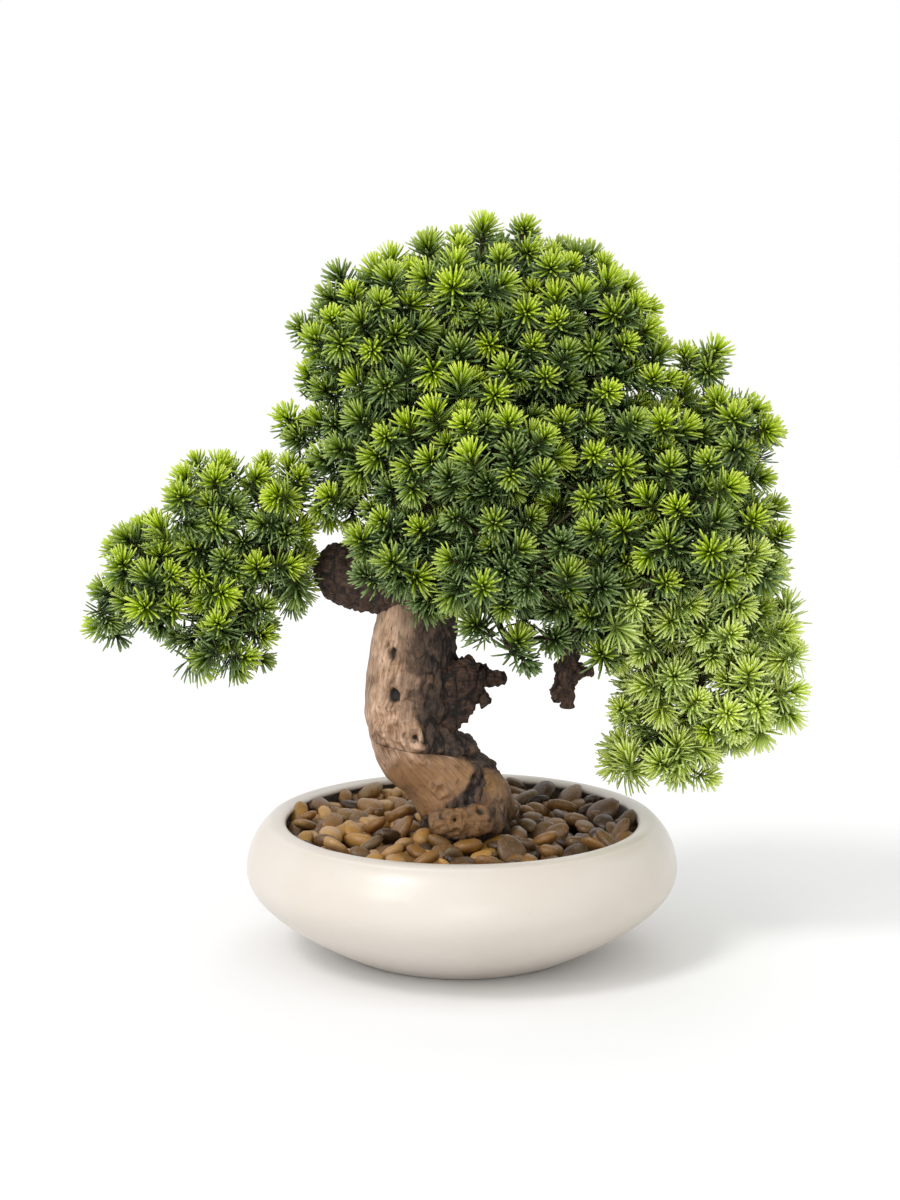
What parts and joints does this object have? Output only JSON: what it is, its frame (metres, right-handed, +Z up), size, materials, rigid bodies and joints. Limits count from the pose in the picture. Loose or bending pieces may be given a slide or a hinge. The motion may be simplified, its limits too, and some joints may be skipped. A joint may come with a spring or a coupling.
{
  "type": "artificial bonsai tree",
  "caption": "Artificial pine bonsai with a leaning driftwood trunk and bendable boughs of needles, set in pebbles in a round white bowl.",
  "frame": {"origin": "centre of the bowl's flat underside, on the surface the tree stands on", "axes": "+Z up, +X to the right of the tree seen from its front, +Y to its back"},
  "size_m": [0.5729, 0.349, 0.5985],
  "materials": {
    "bowl_glaze": "warm white satin glaze",
    "filling": "rough light filling, hidden under the pebbles",
    "steel": "plain drawn rod, hidden",
    "pebbles": "polished river pebbles, brown, ochre and grey",
    "driftwood": "weathered tan wood, dark and rough on one side",
    "dark_wood": "very dark brown rough wood",
    "stem": "brown moulded plastic over wire",
    "needles": "moulded green plastic needles with yellow-green tips"
  },
  "bodies": {
    "pot_and_trunk": {"bowl": "bowl_glaze", "filler_block": "filling", "anchor_rod": "steel", "pebble_bed": "pebbles", "trunk_foot": "driftwood", "trunk_main": "driftwood", "root_knuckle": "driftwood", "crown_limb": "driftwood", "left_limb": "dark_wood", "right_limb": "dark_wood", "front_limb": "driftwood", "back_limb": "dark_wood", "broken_stub": "driftwood", "hanging_stub": "dark_wood", "upper_left_stem": "stem", "upper_left_needles": "needles", "upper_front_stem": "stem", "upper_front_needles": "needles", "upper_back_stem": "stem", "upper_back_needles": "needles", "lower_left_stem": "stem", "lower_left_needles": "needles", "lower_front_stem": "stem", "lower_front_needles": "needles", "lower_back_stem": "stem", "lower_back_needles": "needles", "hanging_stem": "stem", "hanging_needles": "needles", "sprig_left_stem": "stem", "sprig_left_needles": "needles"},
    "crown_bough_body": {"crown_bough": "stem", "crown_left_needles": "needles", "crown_top_needles": "needles", "crown_right_needles": "needles", "sprig_right_needles": "needles"},
    "right_bough_body": {"right_bough": "stem", "right_upper_needles": "needles", "right_front_needles": "needles", "right_back_needles": "needles", "right_end_needles": "needles"},
    "tail_bough_body": {"tail_bough": "stem", "tail_right_needles": "needles", "tail_left_needles": "needles", "tail_tip_needles": "needles"},
    "left_bough_body": {"left_bough": "stem", "left_inner_needles": "needles", "left_upper_needles": "needles", "left_end_needles": "needles", "left_lower_needles": "needles"}
  },
  "joints": [
    {"name": "crown_twist", "type": "hinge", "parent": "pot_and_trunk", "child": "crown_bough_body", "pos_m": [0.012, 0.002, 0.452], "axis": [0, 0, 1], "range_deg": [-8, 8]},
    {"name": "right_bough_swing", "type": "hinge", "parent": "pot_and_trunk", "child": "right_bough_body", "pos_m": [0.116, 0, 0.362], "axis": [0, 0, 1], "range_deg": [-8, 8]},
    {"name": "tail_bend", "type": "hinge", "parent": "right_bough_body", "child": "tail_bough_body", "pos_m": [0.196, 0, 0.262], "axis": [0, 1, 0], "range_deg": [-7, 7]},
    {"name": "left_bough_bend", "type": "hinge", "parent": "pot_and_trunk", "child": "left_bough_body", "pos_m": [-0.128, 0, 0.316], "axis": [0, 1, 0], "range_deg": [-7, 7]}
  ]
}
